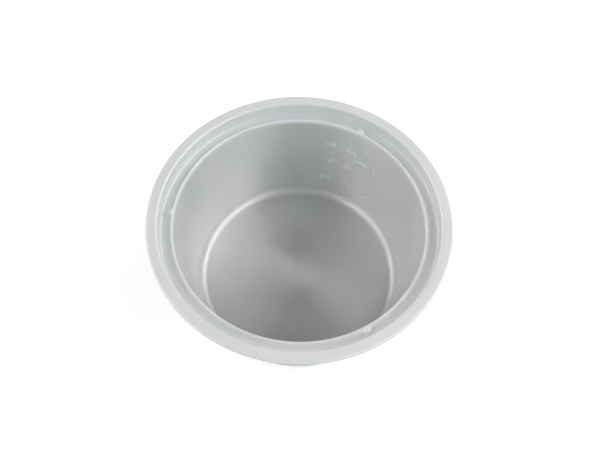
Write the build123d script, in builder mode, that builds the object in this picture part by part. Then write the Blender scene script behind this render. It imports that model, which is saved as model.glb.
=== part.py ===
from build123d import *
from math import cos, pi, radians, sin, tan
import os

# Inner cooking pan of a rice cooker: a deep-drawn aluminium pot with a
# stepped flange, a non-stick lining and a raised water-level scale.
# Millimetres, +Z up along the pan's axis, origin at the centre of the base.

os.makedirs("parts", exist_ok=True)

# --- Driving dimensions -------------------------------------------------

flange_diameter = 240.0  # over the turned-down lip
height = 102.5  # base to the top of the flange
sheet = 1.5  # gauge of the drawn aluminium

flange_width = 9.1  # flat flange, lip to step
lip_height = 3.4  # turned-down edge of the flange
step_draft = 1.0  # how far the step wall leans in
ledge_depth = 11.8  # flange top down to the ledge
ledge_width = 4.8  # flat ledge, step wall to bead
bead_width = 5.1  # foot of the bead to the cooking wall
bead_slope = 40.0  # degrees, the bead's outer flank
wall_taper = 7.66  # degrees, cooking wall from vertical

floor_fillet = 8.0
bead_fillet = 1.5
ledge_fillet = 1.0
flange_fillet = 2.0
lip_fillet = 1.4
edge_fillet = 0.5

pip_radius = 3.5  # dome pressed up through the ledge
pip_inset = 0.7  # pip's centre, inwards from the foot of the bead
pip_azimuths = (61.0, 177.0, 300.0)

lining = 0.2  # non-stick film, thicker than the real one
lining_margin = 0.4  # bare metal above the lining, up to the ledge

relief = 0.4  # how far the scale stands off the lining
scale_azimuth = 60.3
freeboard = 22.6  # ledge down to the highest cup mark
cup_marks = {2: 7.8, 4: 10.0, 6: 13.0}  # cups and length of the tick
porridge_marks = {"0.5": (0.34, 11.5), "1.5": (0.885, 13.0)}  # share, tick
tick_width = 0.9
stem_overrun = 6.0  # stem below the lowest mark
numeral_height = 4.0
numeral_width = 2.2
numeral_stroke = 0.7
numeral_gap = 1.3  # between two characters
numeral_clearance = 1.1  # between a tick and the numeral by it
litre_column = 24.0  # stem to the middle of the litre numerals
head_dot_rise = 15.0  # dot over the porridge column
head_dot_offset = 8.7
head_dot_radius = 0.7

# --- Dependent sizes ----------------------------------------------------

flange_radius = flange_diameter / 2
step_top_radius = flange_radius - flange_width
ledge_outer_radius = step_top_radius - step_draft
bead_foot_radius = ledge_outer_radius - ledge_width
mouth_radius = bead_foot_radius - bead_width
ledge_z = height - ledge_depth
wall_slope = tan(radians(wall_taper))
lining_top_z = ledge_z - lining_margin

# The bead's flank and the wall line meet above the rounded crest.
bead_rise = bead_width / (wall_slope + 1 / tan(radians(bead_slope)))


def wall_radius(z, inset=0.0):
    """Radius of the cooking wall at height z, moved inwards along its normal."""
    return mouth_radius - (ledge_z - z) * wall_slope - inset / cos(radians(wall_taper))


def volume_to(z):
    """Volume held up to height z, in cubic millimetres."""
    low = wall_radius(sheet)
    high = wall_radius(z)
    return pi / 3 * (z - sheet) * (low * low + low * high + high * high)


def height_of(volume):
    """Height at which the pan holds this volume: the inverse of volume_to."""
    low = wall_radius(sheet)
    high = (low**3 + 3 * wall_slope * volume / pi) ** (1 / 3)
    return sheet + (high - low) / wall_slope


# --- Pan shell ----------------------------------------------------------

# Section of the drawn sheet, as (radius, height, corner radius), from the
# middle of the floor along the visible side to the lip, and back outside.
under_ledge_z = ledge_z - sheet
outer_wall_radius = wall_radius(under_ledge_z, -sheet)
outer_foot_radius = wall_radius(0.0, -sheet)
shell_section = [
    (0.0, sheet, 0.0),
    (wall_radius(sheet), sheet, floor_fillet),
    (wall_radius(ledge_z + bead_rise), ledge_z + bead_rise, bead_fillet),
    (bead_foot_radius, ledge_z, ledge_fillet),
    (ledge_outer_radius, ledge_z, ledge_fillet),
    (step_top_radius, height, flange_fillet),
    (flange_radius, height, lip_fillet),
    (flange_radius, height - lip_height, edge_fillet),
    (flange_radius - sheet, height - lip_height, edge_fillet),
    (flange_radius - sheet, height - sheet, edge_fillet),
    (step_top_radius + sheet, height - sheet, edge_fillet),
    (ledge_outer_radius + sheet, under_ledge_z, ledge_fillet + sheet),
    (outer_wall_radius, under_ledge_z, ledge_fillet),
    (outer_foot_radius, 0.0, floor_fillet + sheet),
    (0.0, 0.0, 0.0),
]
pip_circle = bead_foot_radius - pip_inset
pip_places = [
    (pip_circle * cos(radians(a)), pip_circle * sin(radians(a)), ledge_z) for a in pip_azimuths
]

with BuildPart() as pot_shell:
    with BuildSketch(Plane.XZ):
        with BuildLine():
            FilletPolyline(
                *[(r, z) for r, z, corner in shell_section],
                radius=[corner for r, z, corner in shell_section],
                close=True,
            )
        make_face()
    revolve(axis=Axis.Z)
    # Pips that hold the steaming plate: domes, hollow underneath.
    with Locations(*pip_places):
        Sphere(pip_radius, arc_size1=0)
        Sphere(pip_radius - sheet, arc_size1=0, mode=Mode.SUBTRACT)
        Cylinder(
            pip_radius - sheet,
            sheet,
            align=(Align.CENTER, Align.CENTER, Align.MAX),
            mode=Mode.SUBTRACT,
        )
pot_shell.part.label = "pot_shell"
export_step(pot_shell.part, "parts/pot_shell.step")

# --- Non-stick lining ---------------------------------------------------

lined_floor_z = sheet + lining

with BuildPart() as nonstick_lining:
    with BuildSketch(Plane.XZ):
        with BuildLine():
            FilletPolyline(
                (0.0, sheet),
                (wall_radius(sheet), sheet),
                (wall_radius(lining_top_z), lining_top_z),
                radius=floor_fillet,
            )
            Line(
                (wall_radius(lining_top_z), lining_top_z),
                (wall_radius(lining_top_z, lining), lining_top_z),
            )
            FilletPolyline(
                (wall_radius(lining_top_z, lining), lining_top_z),
                (wall_radius(lined_floor_z, lining), lined_floor_z),
                (0.0, lined_floor_z),
                radius=floor_fillet - lining,
            )
            Line((0.0, lined_floor_z), (0.0, sheet))
        make_face()
    revolve(axis=Axis.Z)
nonstick_lining.part.label = "nonstick_lining"
export_step(nonstick_lining.part, "parts/nonstick_lining.step")

# --- Water-level scale --------------------------------------------------

full_volume = volume_to(ledge_z - freeboard)
most_cups = max(cup_marks)
cup_heights = {cups: height_of(full_volume * cups / most_cups) for cups in cup_marks}
porridge_heights = {text: height_of(full_volume * share) for text, (share, _) in porridge_marks.items()}
stem_top_z = max(cup_heights.values())
stem_foot_z = min(cup_heights.values()) - stem_overrun

# Numerals as strokes in a cell one unit wide and one unit high.
numeral_strokes = {
    "0": [[(0, 0), (1, 0), (1, 1), (0, 1), (0, 0)]],
    "1": [[(0.2, 0.8), (0.6, 1), (0.6, 0)]],
    "2": [[(0, 1), (1, 1), (1, 0.5), (0, 0.5), (0, 0), (1, 0)]],
    "3": [[(0, 1), (1, 1), (1, 0), (0, 0)], [(0.2, 0.5), (1, 0.5)]],
    "4": [[(0.75, 0), (0.75, 1), (0, 0.35)], [(0, 0.35), (1, 0.35)]],
    "5": [[(1, 1), (0, 1), (0, 0.5), (1, 0.5), (1, 0), (0, 0)]],
    "6": [[(1, 1), (0, 1), (0, 0), (1, 0), (1, 0.5), (0, 0.5)]],
    "7": [[(0, 1), (1, 1), (0.4, 0)]],
    "8": [[(0, 0), (1, 0), (1, 1), (0, 1), (0, 0)], [(0, 0.5), (1, 0.5)]],
    "9": [[(0, 0), (1, 0), (1, 1), (0, 1), (0, 0.5), (1, 0.5)]],
}

# Seen from the axis: x to the viewer's right, y up, normal towards the viewer.
scale_angle = radians(scale_azimuth)
scale_plane = Plane(
    origin=(0, 0, 0),
    x_dir=(sin(scale_angle), -cos(scale_angle), 0),
    z_dir=(-cos(scale_angle), -sin(scale_angle), 0),
)


def place_numerals(text, x, y):
    """Strokes and dots of a row of numerals, centred on x and standing on y."""
    pitches = [numeral_stroke if character == "." else numeral_width for character in text]
    left = x - (sum(pitches) + numeral_gap * (len(text) - 1)) / 2
    placed_strokes = []
    placed_dots = []
    for character, pitch in zip(text, pitches):
        if character == ".":
            placed_dots.append((left + pitch / 2, y))
        for stroke in numeral_strokes.get(character, []):
            placed_strokes.append([(left + u * pitch, y + v * numeral_height) for u, v in stroke])
        left += pitch + numeral_gap
    return placed_strokes, placed_dots


# Each tick as (end of the tick, height), and every numeral's strokes and dots.
ticks = [(-tick, cup_heights[cups]) for cups, tick in cup_marks.items()]
ticks += [(tick, porridge_heights[text]) for text, (share, tick) in porridge_marks.items()]
numerals = []
for cups, tick in cup_marks.items():
    above_tick = cup_heights[cups] + tick_width / 2 + numeral_clearance
    litres = full_volume * cups / most_cups / 1e6
    numerals.append(place_numerals(str(cups), -tick * 0.6, above_tick))
    numerals.append(place_numerals(f"{litres:.1f}", -litre_column, cup_heights[cups]))
for text, (share, tick) in porridge_marks.items():
    beyond_tick = tick + numeral_clearance + numeral_height
    numerals.append(place_numerals(text, beyond_tick, porridge_heights[text] - numeral_height))
strokes = [stroke for placed_strokes, placed_dots in numerals for stroke in placed_strokes]
dots = [dot for placed_strokes, placed_dots in numerals for dot in placed_dots]

with BuildPart() as level_scale:
    with BuildSketch(scale_plane):
        with Locations((0, (stem_top_z + stem_foot_z) / 2)):
            Rectangle(tick_width, stem_top_z - stem_foot_z + tick_width)
        for tick_end, tick_z in ticks:
            with Locations((tick_end / 2, tick_z)):
                Rectangle(abs(tick_end), tick_width)
        for stroke in strokes:
            with BuildLine():
                Polyline(*stroke)
            trace(line_width=numeral_stroke)
        with Locations(*dots):
            Circle(numeral_stroke / 2)
        with Locations((head_dot_offset, porridge_heights["1.5"] + head_dot_rise)):
            Circle(head_dot_radius)
    extrude(amount=-mouth_radius)
    # Keep only what stands off the lining's tapered face.
    with BuildSketch(Plane.XZ):
        with BuildLine():
            Polyline(
                (wall_radius(lined_floor_z + floor_fillet, lining), lined_floor_z + floor_fillet),
                (wall_radius(lining_top_z, lining), lining_top_z),
                (wall_radius(lining_top_z, lining + relief), lining_top_z),
                (wall_radius(lined_floor_z + floor_fillet, lining + relief), lined_floor_z + floor_fillet),
                close=True,
            )
        make_face()
    revolve(axis=Axis.Z, mode=Mode.INTERSECT)
level_scale.part.label = "level_scale"
export_step(level_scale.part, "parts/level_scale.step")

print(f"height {height:.1f}, flange {flange_diameter:.1f}, mouth {2 * mouth_radius:.1f}")
print(f"full mark {full_volume / 1e6:.2f} L, {full_volume / most_cups / 1e6:.3f} L per cup")
print(f"brimful to the ledge {volume_to(ledge_z) / 1e6:.2f} L")
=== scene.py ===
from math import acos, ceil, cos, hypot, pi, radians, sin, sqrt, tan

import bpy
from mathutils import Matrix, Vector


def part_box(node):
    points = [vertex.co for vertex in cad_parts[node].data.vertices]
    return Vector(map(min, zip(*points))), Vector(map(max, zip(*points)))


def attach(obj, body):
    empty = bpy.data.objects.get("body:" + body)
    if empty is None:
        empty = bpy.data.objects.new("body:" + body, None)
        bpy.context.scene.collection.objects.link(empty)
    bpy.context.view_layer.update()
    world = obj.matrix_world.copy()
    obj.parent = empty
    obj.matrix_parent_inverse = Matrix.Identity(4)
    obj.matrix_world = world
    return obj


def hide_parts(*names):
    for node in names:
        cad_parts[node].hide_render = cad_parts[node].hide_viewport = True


# Looks of a rice cooker's inner pan: a satin aluminium pressing with a lip,
# step, beaded ledge and pips, a grey non-stick lining and a raised scale.
# Metres, in the CAD frame: +Z up the pan's axis, origin under its base.

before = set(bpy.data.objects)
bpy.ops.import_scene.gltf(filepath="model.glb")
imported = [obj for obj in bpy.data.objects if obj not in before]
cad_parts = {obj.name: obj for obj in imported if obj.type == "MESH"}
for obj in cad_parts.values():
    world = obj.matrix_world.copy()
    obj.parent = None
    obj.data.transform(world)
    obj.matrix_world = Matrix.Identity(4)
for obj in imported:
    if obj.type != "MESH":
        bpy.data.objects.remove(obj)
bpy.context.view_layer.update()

MM = 0.001

# --- Sizes --------------------------------------------------------------

flange_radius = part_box("pot_shell")[1].x
top_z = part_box("pot_shell")[1].z
sheet = 1.5 * MM
flange_width = 9.1 * MM
lip_height = 3.4 * MM
step_draft = 1.0 * MM
ledge_depth = 11.8 * MM
ledge_width = 4.8 * MM
bead_width = 5.1 * MM
bead_slope = radians(40.0)
wall_taper = radians(7.66)
floor_fillet = 8.0 * MM
bead_fillet = 1.5 * MM
ledge_fillet = 1.0 * MM
flange_fillet = 2.0 * MM
lip_fillet = 1.4 * MM
edge_fillet = 0.5 * MM
pip_radius = 3.8 * MM
pip_height = 3.5 * MM
pip_inset = 0.7 * MM
pip_lean = 0.6 * MM
pip_blend = 1.0 * MM
pip_azimuths = (61.0, 177.0, 300.0)
lining = 0.2 * MM

step_top_radius = flange_radius - flange_width
ledge_outer_radius = step_top_radius - step_draft
bead_foot_radius = ledge_outer_radius - ledge_width
mouth_radius = bead_foot_radius - bead_width
pip_circle = bead_foot_radius - pip_inset - pip_lean
ledge_z = top_z - ledge_depth
lining_top_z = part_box("nonstick_lining")[1].z
bead_rise = bead_width / (tan(wall_taper) + 1 / tan(bead_slope))


def wall_radius(z, inset=0.0):
    """Radius of the cooking wall at height z, moved inwards along its normal."""
    return mouth_radius - (ledge_z - z) * tan(wall_taper) - inset / cos(wall_taper)


# --- Mesh tools ---------------------------------------------------------


def rounded_path(corners, spacing, arc_step=radians(10)):
    """Points along an open outline of (radius, z, fillet), its corners rounded.

    Straight runs are divided no coarser than spacing(radius, z)."""
    path = [Vector(corners[0][:2])]
    for i in range(1, len(corners) - 1):
        corner = Vector(corners[i][:2])
        fillet = corners[i][2]
        to_last = (Vector(corners[i - 1][:2]) - corner).normalized()
        to_next = (Vector(corners[i + 1][:2]) - corner).normalized()
        opening = acos(max(-1.0, min(1.0, to_last.dot(to_next))))
        tangent = fillet / tan(opening / 2)
        centre = corner + (to_last + to_next).normalized() * (fillet / sin(opening / 2))
        start = corner + to_last * tangent
        sweep = pi - opening
        steps = max(2, ceil(sweep / arc_step))
        first = start - centre
        side = 1.0 if first.x * (-to_last.y) + first.y * to_last.x > 0 else -1.0
        for k in range(steps + 1):
            turn = side * sweep * k / steps
            spoke = Vector(
                (first.x * cos(turn) - first.y * sin(turn), first.x * sin(turn) + first.y * cos(turn))
            )
            path.append(centre + spoke)
    path.append(Vector(corners[-1][:2]))
    divided = [path[0]]
    for start, end in zip(path, path[1:]):
        pieces = max(1, ceil((end - start).length / spacing(*((start + end) / 2))))
        divided += [start.lerp(end, k / pieces) for k in range(1, pieces + 1)]
    return divided


def revolved(name, path, azimuths, shape=lambda p, azimuth: p):
    """A closed mesh from a section path whose two ends lie on the axis."""
    rings = path[1:-1]
    count = len(azimuths)
    vertices = [(0.0, 0.0, path[0].y)]
    for point in rings:
        for azimuth in azimuths:
            vertices.append(
                shape(Vector((point.x * cos(azimuth), point.x * sin(azimuth), point.y)), azimuth)
            )
    vertices.append((0.0, 0.0, path[-1].y))
    last = len(vertices) - 1
    faces = []
    for j in range(count):
        k = (j + 1) % count
        faces.append((0, 1 + j, 1 + k))
        for i in range(len(rings) - 1):
            low, high = 1 + i * count, 1 + (i + 1) * count
            faces.append((low + j, high + j, high + k, low + k))
        tail = 1 + (len(rings) - 1) * count
        faces.append((last, tail + k, tail + j))
    mesh = bpy.data.meshes.new(name)
    mesh.from_pydata([tuple(v) for v in vertices], [], faces)
    mesh.update()
    mesh.polygons.foreach_set("use_smooth", [True] * len(faces))
    piece = bpy.data.objects.new(name, mesh)
    bpy.context.scene.collection.objects.link(piece)
    return piece


def even_azimuths(count):
    return [2 * pi * k / count for k in range(count)]


def azimuths_with_pips(count, fine_step, reach):
    """Even azimuths, with a finer run across each pip."""
    found = set(round(a, 7) for a in even_azimuths(count))
    for centre in map(radians, pip_azimuths):
        found = {a for a in found if abs(a - centre) > reach}
        steps = round(2 * reach / fine_step)
        found |= {round(centre - reach + 2 * reach * k / steps, 7) for k in range(steps + 1)}
    return sorted(found)


def smooth_max(a, b, blend):
    """The larger of a and b, with the crease between them rounded off."""
    gap = max(blend - abs(a - b), 0.0) / blend
    return max(a, b) + gap * gap * blend / 4


# --- Pan shell ----------------------------------------------------------

segments = 288
under_ledge_z = ledge_z - sheet
shell_corners = [
    (0.0, sheet, 0.0),
    (wall_radius(sheet), sheet, floor_fillet),
    (wall_radius(ledge_z + bead_rise), ledge_z + bead_rise, bead_fillet),
    (bead_foot_radius, ledge_z, ledge_fillet),
    (ledge_outer_radius, ledge_z, ledge_fillet),
    (step_top_radius, top_z, flange_fillet),
    (flange_radius, top_z, lip_fillet),
    (flange_radius, top_z - lip_height, edge_fillet),
    (flange_radius - sheet, top_z - lip_height, edge_fillet),
    (flange_radius - sheet, top_z - sheet, edge_fillet),
    (step_top_radius + sheet, top_z - sheet, edge_fillet),
    (ledge_outer_radius + sheet, under_ledge_z, ledge_fillet + sheet),
    (wall_radius(under_ledge_z, -sheet), under_ledge_z, ledge_fillet),
    (wall_radius(0.0, -sheet), 0.0, floor_fillet + sheet),
    (0.0, 0.0, 0.0),
]
pip_inner_edge = bead_foot_radius - 2 * pip_radius
pip_low_z = under_ledge_z - 0.1 * MM
pip_rows = 0.4 * MM
rim_rows = 2.0 * MM
wall_rows = 6.0 * MM
pip_centres = [
    Vector((pip_circle * cos(radians(a)), pip_circle * sin(radians(a)))) for a in pip_azimuths
]


def shell_spacing(radius, z):
    """Fine rows where the pips rise, coarse ones elsewhere."""
    if pip_inner_edge < radius < ledge_outer_radius and z > pip_low_z:
        return pip_rows
    return rim_rows if z > under_ledge_z else wall_rows


def pressed(point, azimuth):
    """A point of the plain shell with the pips pressed up through the ledge."""
    radius = hypot(point.x, point.y)
    if not pip_inner_edge < radius < ledge_outer_radius or point.z < pip_low_z:
        return point
    topside = point.z > ledge_z - sheet / 2
    dome = pip_radius if topside else pip_radius - sheet
    for centre in pip_centres:
        away = (Vector((point.x, point.y)) - centre).length
        if away < dome + 2 * pip_blend:
            rise = pip_height / pip_radius * sqrt(max(dome * dome - away * away, 0.0))
            slope_out = max(away - dome, 0.0)
            pip_z = ledge_z - (0 if topside else sheet) + rise - slope_out
            point.z = smooth_max(point.z, pip_z, pip_blend)
    return point


shell_path = rounded_path(shell_corners, shell_spacing)
shell = revolved(
    "pan_shell",
    shell_path,
    azimuths_with_pips(segments, radians(0.15), radians(3.0)),
    pressed,
)
lip_middle = next(
    index
    for index, point in enumerate(shell_path)
    if point.x > flange_radius - edge_fillet and point.y < top_z - lip_height / 2
)
faces_per_strip = len(shell_path) - 1
topside_slot, outside_slot = 0, 1
for face in shell.data.polygons:
    face.material_index = outside_slot if face.index % faces_per_strip >= lip_middle else topside_slot
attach(shell, "root")
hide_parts("pot_shell")

# --- Lining -------------------------------------------------------------

lining_rows = 3.0 * MM
lined_floor_z = sheet + lining
lining_corners = [
    (0.0, lined_floor_z, 0.0),
    (wall_radius(lined_floor_z, lining), lined_floor_z, floor_fillet - lining),
    (wall_radius(lining_top_z, lining), lining_top_z, lining * 0.45),
    (wall_radius(lining_top_z), lining_top_z, lining * 0.2),
    (wall_radius(sheet), sheet, floor_fillet),
    (0.0, sheet, 0.0),
]
film = revolved(
    "pan_lining",
    rounded_path(lining_corners, lambda radius, z: lining_rows),
    even_azimuths(segments),
)
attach(film, "root")
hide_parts("nonstick_lining")

# --- Water-level scale --------------------------------------------------


def soft_relief(name, node, sink, voxel, rounds):
    """The strokes of a CAD node as soft ridges, rooted in the wall behind them.

    sink is their root's depth, voxel the mesh's grain, rounds how often it is smoothed."""
    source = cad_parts[node].data
    strokes = source.copy()
    strokes.name = name
    ridge = bpy.data.objects.new(name, strokes)
    bpy.context.scene.collection.objects.link(ridge)
    solid = ridge.modifiers.new("root", "SOLIDIFY")
    solid.thickness = sink
    solid.offset = 1.0
    remesh = ridge.modifiers.new("join", "REMESH")
    remesh.mode = "VOXEL"
    remesh.voxel_size = voxel
    smooth = ridge.modifiers.new("soften", "SMOOTH")
    smooth.factor = 0.5
    smooth.iterations = rounds
    graph = bpy.context.evaluated_depsgraph_get()
    baked = bpy.data.meshes.new_from_object(ridge.evaluated_get(graph))
    ridge.modifiers.clear()
    ridge.data = baked
    baked.name = name
    baked.polygons.foreach_set("use_smooth", [True] * len(baked.polygons))
    return ridge


marks = soft_relief("level_marks", "level_scale", sink=0.15 * MM, voxel=0.13 * MM, rounds=2)
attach(marks, "root")
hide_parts("level_scale")

# --- Materials ----------------------------------------------------------


# Places of a Mix node's number and colour sockets.
mix_factor, mix_below, mix_above, mix_colour = 0, 6, 7, 2


class Graph:
    """A material's node tree, with short ways to add and join nodes."""

    def __init__(self, name):
        self.material = bpy.data.materials.new(name)
        self.material.use_nodes = True
        self.nodes = self.material.node_tree.nodes
        self.links = self.material.node_tree.links
        self.shader = self.nodes["Principled BSDF"]

    def put(self, socket, value):
        if isinstance(value, bpy.types.NodeSocket):
            self.links.new(value, socket)
        else:
            socket.default_value = value

    def add(self, kind, settings, *values):
        node = self.nodes.new("ShaderNode" + kind)
        for key, value in settings.items():
            setattr(node, key, value)
        for socket, value in zip(node.inputs, values):
            self.put(socket, value)
        return node

    def math(self, operation, *values):
        return self.add("Math", {"operation": operation}, *values).outputs[0]

    def ramp(self, value, low, high, to_low=0.0, to_high=1.0):
        """value carried smoothly from low..high to to_low..to_high, and held beyond."""
        smooth = {"interpolation_type": "SMOOTHSTEP"}
        return self.add("MapRange", smooth, value, low, high, to_low, to_high).outputs[0]

    def place(self):
        """The point's place on the pan: its x, y, z and its distance from the axis."""
        point = self.nodes.new("ShaderNodeTexCoord").outputs["Object"]
        x, y, z = self.add("SeparateXYZ", {}, point).outputs
        squares = self.math("ADD", self.math("MULTIPLY", x, x), self.math("MULTIPLY", y, y))
        radius = self.math("SQRT", squares)
        return point, x, y, z, radius

    def noise(self, vector, size, detail=2.0, seed=0.0):
        """Noise in 0..1 with features about size metres across."""
        node = self.add("TexNoise", {"noise_dimensions": "4D"})
        self.put(node.inputs["Vector"], vector)
        self.put(node.inputs["W"], seed)
        self.put(node.inputs["Scale"], 1 / size)
        self.put(node.inputs["Detail"], detail)
        return node.outputs[0]

    def turned(self, x, y, z, radius, pitch, length, seed):
        """Noise drawn out around the axis, as left by turning: pitch across, length along."""
        squeeze = pitch / length
        vector = self.add(
            "CombineXYZ",
            {},
            self.math("ADD", radius, self.math("MULTIPLY", x, squeeze)),
            self.math("MULTIPLY", y, squeeze),
            z,
        ).outputs[0]
        return self.noise(vector, pitch, 3.0, seed)

    def blend(self, factor, below, above):
        """below where factor is 0, above where it is 1: colours or colour sockets."""
        node = self.add("Mix", {"data_type": "RGBA"})
        self.put(node.inputs[mix_factor], factor)
        for index, colour in ((mix_below, below), (mix_above, above)):
            self.put(node.inputs[index], (*colour, 1.0) if isinstance(colour, tuple) else colour)
        return node.outputs[mix_colour]

    def bump(self, height, depth, normal=None):
        node = self.nodes.new("ShaderNodeBump")
        self.put(node.inputs["Height"], height)
        self.put(node.inputs["Distance"], depth)
        if normal:
            self.put(node.inputs["Normal"], normal)
        return node.outputs[0]

    def around_axis(self):
        """Grain running around the pan's axis, so that highlights spread across it."""
        tangent = self.add("Tangent", {"direction_type": "RADIAL", "axis": "Z"}).outputs[0]
        self.put(self.shader.inputs["Tangent"], tangent)
        self.shader.inputs["Anisotropic Rotation"].default_value = 0.25


def satin_aluminium():
    """Blasted aluminium of the lip, step and ledge: fine, matt, rubbed along the lip; its downturned
    lip face is darkened towards the outside's turned tone, partly as painted shade.
    """
    g = Graph("satin_aluminium")
    point, x, y, z, radius = g.place()
    cloud = g.noise(point, 35 * MM, 3.0, 1.0)
    blast = g.noise(point, 0.7 * MM, 2.0, 2.0)
    rubs = g.ramp(g.turned(x, y, z, radius, 0.35 * MM, 9 * MM, 4.0), 0.66, 0.78)
    lip = g.ramp(radius, flange_radius - 1.6 * MM, flange_radius - 0.4 * MM)
    clean = g.blend(g.ramp(cloud, 0.3, 0.7), (0.715, 0.725, 0.73), (0.745, 0.75, 0.755))
    scuffed = g.blend(g.math("MULTIPLY", rubs, 0.2), clean, (0.85, 0.86, 0.86))
    # Painted shade: the downturned lip face is darkened to the outside's turned aluminium tone, which
    # also stands in for the shade that face shows.
    lip_face_painted_shade = g.math("MULTIPLY", lip, g.ramp(z, top_z - 0.3 * MM, top_z - 1.3 * MM))
    turned_tone_with_painted_shade = g.blend(lip_face_painted_shade, scuffed, (0.47, 0.48, 0.49))
    g.put(g.shader.inputs["Base Color"], turned_tone_with_painted_shade)
    g.shader.inputs["Metallic"].default_value = 0.3
    rough = g.math("ADD", g.ramp(cloud, 0.25, 0.75, 0.46, 0.52), g.math("MULTIPLY", blast, 0.05))
    rough = g.math("SUBTRACT", rough, g.math("MULTIPLY", lip, 0.06))
    g.put(g.shader.inputs["Roughness"], g.math("SUBTRACT", rough, g.math("MULTIPLY", rubs, 0.08)))
    g.put(g.shader.inputs["Normal"], g.bump(blast, 0.012 * MM))
    return g.material


def turned_aluminium():
    """Bare turned aluminium of the outside: lathe grain, scuffs, a heat-dulled base."""
    g = Graph("turned_aluminium")
    point, x, y, z, radius = g.place()
    cloud = g.noise(point, 30 * MM, 3.0, 31.0)
    grain = g.turned(x, y, z, radius, 0.5 * MM, 90 * MM, 32.0)
    bands = g.turned(x, y, z, radius, 1.6 * MM, 400 * MM, 33.0)
    scuffs = g.ramp(g.turned(x, y, z, radius, 0.6 * MM, 12 * MM, 34.0), 0.66, 0.8)
    underside = g.ramp(z, 0.6 * MM, 0.1 * MM)
    heated = g.math("MULTIPLY", underside, g.ramp(radius, 76 * MM, 40 * MM))
    heel = g.math("MULTIPLY", g.ramp(z, 14 * MM, 3 * MM), g.ramp(radius, 60 * MM, 76 * MM))
    clean = g.blend(g.ramp(cloud, 0.3, 0.7), (0.43, 0.437, 0.443), (0.48, 0.486, 0.492))
    banded = g.blend(g.ramp(bands, 0.4, 0.65, 0.0, 0.22), clean, (0.33, 0.335, 0.34))
    scuffed = g.blend(g.math("MULTIPLY", scuffs, 0.3), banded, (0.68, 0.68, 0.68))
    stain = g.math("MULTIPLY", heated, g.ramp(cloud, 0.35, 0.7, 0.2, 0.6))
    stained = g.blend(stain, scuffed, (0.36, 0.335, 0.30))
    g.put(g.shader.inputs["Base Color"], stained)
    g.shader.inputs["Metallic"].default_value = 0.85
    rough = g.math("ADD", g.ramp(cloud, 0.25, 0.75, 0.34, 0.42), g.math("MULTIPLY", grain, 0.08))
    rough = g.math("ADD", rough, g.math("MULTIPLY", g.math("MAXIMUM", heated, heel), 0.1))
    g.put(g.shader.inputs["Roughness"], rough)
    g.shader.inputs["Anisotropic"].default_value = 0.5
    g.around_axis()
    g.put(g.shader.inputs["Normal"], g.bump(grain, 0.015 * MM))
    return g.material


def nonstick_film():
    """Sprayed silver-grey lining over a turned ground, lightly rubbed by spoons."""
    g = Graph("nonstick_film")
    point, x, y, z, radius = g.place()
    cloud = g.noise(point, 28 * MM, 3.0, 11.0)
    peel = g.noise(point, 1.1 * MM, 2.0, 12.0)
    grain = g.turned(x, y, z, radius, 0.6 * MM, 80 * MM, 13.0)
    spoon_arcs = g.ramp(g.turned(x, y, z, radius, 0.5 * MM, 14 * MM, 14.0), 0.68, 0.8)
    flakes = g.add("TexVoronoi", {"feature": "F1"})
    g.put(flakes.inputs["Vector"], point)
    g.put(flakes.inputs["Scale"], 1 / (0.35 * MM))
    flake = g.add("SeparateColor", {}, flakes.outputs["Color"]).outputs[0]
    floor_part = g.ramp(z, 12 * MM, 2 * MM)
    wall_base = g.blend(g.ramp(cloud, 0.3, 0.7), (0.75, 0.766, 0.766), (0.78, 0.788, 0.786))
    floor_base = g.blend(g.ramp(cloud, 0.3, 0.7), (0.672, 0.676, 0.668), (0.702, 0.70, 0.69))
    base = g.blend(floor_part, wall_base, floor_base)
    flecked = g.blend(g.math("MULTIPLY", flake, 0.10), base, (0.58, 0.58, 0.58))
    wear = g.math("MULTIPLY", spoon_arcs, g.math("MULTIPLY", floor_part, 0.25))
    worn = g.blend(wear, flecked, (0.80, 0.80, 0.79))
    g.put(g.shader.inputs["Base Color"], worn)
    matt_middle = g.ramp(radius, 26 * MM, 3 * MM)
    g.put(g.shader.inputs["Metallic"], g.math("SUBTRACT", 0.8, g.math("MULTIPLY", matt_middle, 0.35)))
    rough = g.math("ADD", g.ramp(cloud, 0.25, 0.75, 0.40, 0.44), g.math("MULTIPLY", flake, 0.03))
    rough = g.math("ADD", rough, g.math("MULTIPLY", matt_middle, 0.14))
    g.put(g.shader.inputs["Roughness"], rough)
    g.shader.inputs["Anisotropic"].default_value = 0.65
    g.around_axis()
    g.shader.inputs["Coat Weight"].default_value = 0.5
    g.shader.inputs["Coat Roughness"].default_value = 0.2
    turned = g.bump(grain, 0.008 * MM)
    g.put(g.shader.inputs["Normal"], g.bump(peel, 0.010 * MM, turned))
    return g.material


def painted_highlight_marks():
    """The same lining on the raised scale, painted lighter all over: a painted highlight standing for
    the light the raised strokes catch.
    """
    g = Graph("painted_highlight_marks")
    point, x, y, z, radius = g.place()
    cloud = g.noise(point, 6 * MM, 2.0, 21.0)
    # Painted highlight: the strokes get a lighter grey than the lining around them, standing for the
    # light their relief catches.
    base = g.blend(g.ramp(cloud, 0.3, 0.7), (0.84, 0.85, 0.85), (0.90, 0.90, 0.90))
    g.put(g.shader.inputs["Base Color"], base)
    g.shader.inputs["Metallic"].default_value = 0.55
    g.put(g.shader.inputs["Roughness"], g.ramp(cloud, 0.3, 0.7, 0.36, 0.42))
    return g.material


shell.data.materials.append(satin_aluminium())
shell.data.materials.append(turned_aluminium())
film.data.materials.append(nonstick_film())
marks.data.materials.clear()
marks.data.materials.append(painted_highlight_marks())

# --- Stage, light and camera --------------------------------------------


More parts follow.
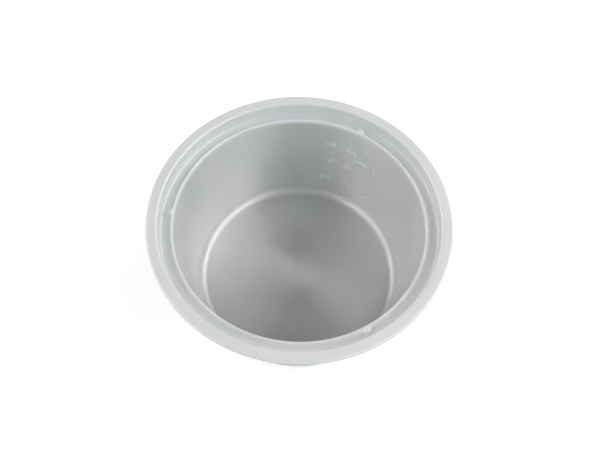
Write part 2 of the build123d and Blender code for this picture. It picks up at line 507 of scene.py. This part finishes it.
def stage_floor(size):
    """A square pale floor under the pan, with a slight glow that keeps its shadows light."""
    mesh = bpy.data.meshes.new("floor")
    half = size / 2
    corners = [(-half, -half, 0), (half, -half, 0), (half, half, 0), (-half, half, 0)]
    mesh.from_pydata(corners, [], [(0, 1, 2, 3)])
    floor = bpy.data.objects.new("floor", mesh)
    bpy.context.scene.collection.objects.link(floor)
    g = Graph("pale_floor")
    g.shader.inputs["Base Color"].default_value = (0.9, 0.9, 0.9, 1)
    g.shader.inputs["Roughness"].default_value = 0.9
    g.shader.inputs["Emission Color"].default_value = (1, 1, 1, 1)
    g.shader.inputs["Emission Strength"].default_value = 0.36
    mesh.materials.append(g.material)


# Lamps around the pan: azimuth, elevation and radiance.
softboxes = {
    "right": (0, 34, 4.22),
    "right_rear": (30, 34, 4.05),
    "right_rear_high": (30, 62, 1.88),
    "rear_right": (60, 34, 1.24),
    "left_rear_low": (150, 22, 3.23),
    "left_rear": (150, 34, 2.50),
    "left_rear_high": (150, 62, 0.87),
    "left": (180, 34, 2.31),
    "left_front": (210, 34, 2.19),
    "left_front_high": (210, 62, 0.75),
    "front_high": (270, 62, 1.03),
    "front_right_low": (300, 22, 2.10),
    "right_front": (330, 34, 1.58),
    "right_front_raised": (330, 48, 2.59),
}
neutral_light = (1.0, 1.0, 1.0)
cool_light = (0.84, 0.94, 1.0)


def softbox(name, azimuth, elevation, radiance, colour, distance=8.0, size=3.0):
    """A square lamp aimed at the pan's mouth."""
    light = bpy.data.lights.new(name, "AREA")
    light.shape = "SQUARE"
    light.size = size
    light.color = colour
    light.energy = radiance * pi * size * size
    lamp = bpy.data.objects.new(name, light)
    bpy.context.scene.collection.objects.link(lamp)
    around, above = radians(azimuth), radians(elevation)
    out = Vector((cos(around) * cos(above), sin(around) * cos(above), sin(above)))
    lamp.location = Vector((0, 0, top_z)) + out * distance
    lamp.rotation_mode = "QUATERNION"
    lamp.rotation_quaternion = out.to_track_quat("Z", "Y")
    lamp.visible_camera = False


def studio_world(horizon, zenith, low_elevation, high_elevation):
    """Surroundings that are bright near the horizon and dim overhead."""
    world = bpy.data.worlds.new("studio")
    world.use_nodes = True
    tree = world.node_tree
    direction = tree.nodes.new("ShaderNodeTexCoord").outputs["Generated"]
    split = tree.nodes.new("ShaderNodeSeparateXYZ")
    tree.links.new(direction, split.inputs[0])
    fade = tree.nodes.new("ShaderNodeMapRange")
    fade.interpolation_type = "SMOOTHSTEP"
    tree.links.new(split.outputs["Z"], fade.inputs["Value"])
    fade.inputs["From Min"].default_value = sin(low_elevation)
    fade.inputs["From Max"].default_value = sin(high_elevation)
    fade.inputs["To Min"].default_value = horizon
    fade.inputs["To Max"].default_value = zenith
    tree.links.new(fade.outputs["Result"], tree.nodes["Background"].inputs["Strength"])
    tree.nodes["Background"].inputs["Color"].default_value = (1, 1, 1, 1)
    bpy.context.scene.world = world


stage_floor(size=11.0)
studio_world(horizon=1.0, zenith=0.08, low_elevation=radians(4), high_elevation=radians(50))
for lamp_name, (lamp_azimuth, lamp_elevation, lamp_radiance) in softboxes.items():
    lamp_colour = cool_light if lamp_name.startswith("front") else neutral_light
    softbox(lamp_name, lamp_azimuth, lamp_elevation, lamp_radiance, lamp_colour)

camera_elevation = radians(60.989)
camera_roll = radians(-1.663)
camera_distance = 4.5 * flange_radius
camera_slide_right = 0.00247 * flange_radius
camera_slide_down = 0.13444 * flange_radius
right = Vector((1, 0, 0))
up = Vector((0, sin(camera_elevation), cos(camera_elevation)))
back = Vector((0, -cos(camera_elevation), sin(camera_elevation)))
camera_right = right * cos(camera_roll) - up * sin(camera_roll)
camera_up = right * sin(camera_roll) + up * cos(camera_roll)
camera_data = bpy.data.cameras.new("camera")
camera_data.sensor_width = 36.0
camera_data.lens = 41.508
camera = bpy.data.objects.new("camera", camera_data)
bpy.context.scene.collection.objects.link(camera)
place = (
    Vector((0, 0, top_z))
    + back * camera_distance
    + camera_right * camera_slide_right
    - camera_up * camera_slide_down
)
turn = Matrix((camera_right, camera_up, back)).transposed().to_4x4()
camera.matrix_world = Matrix.Translation(place) @ turn
bpy.context.scene.camera = camera
bpy.context.scene.view_settings.view_transform = "Standard"
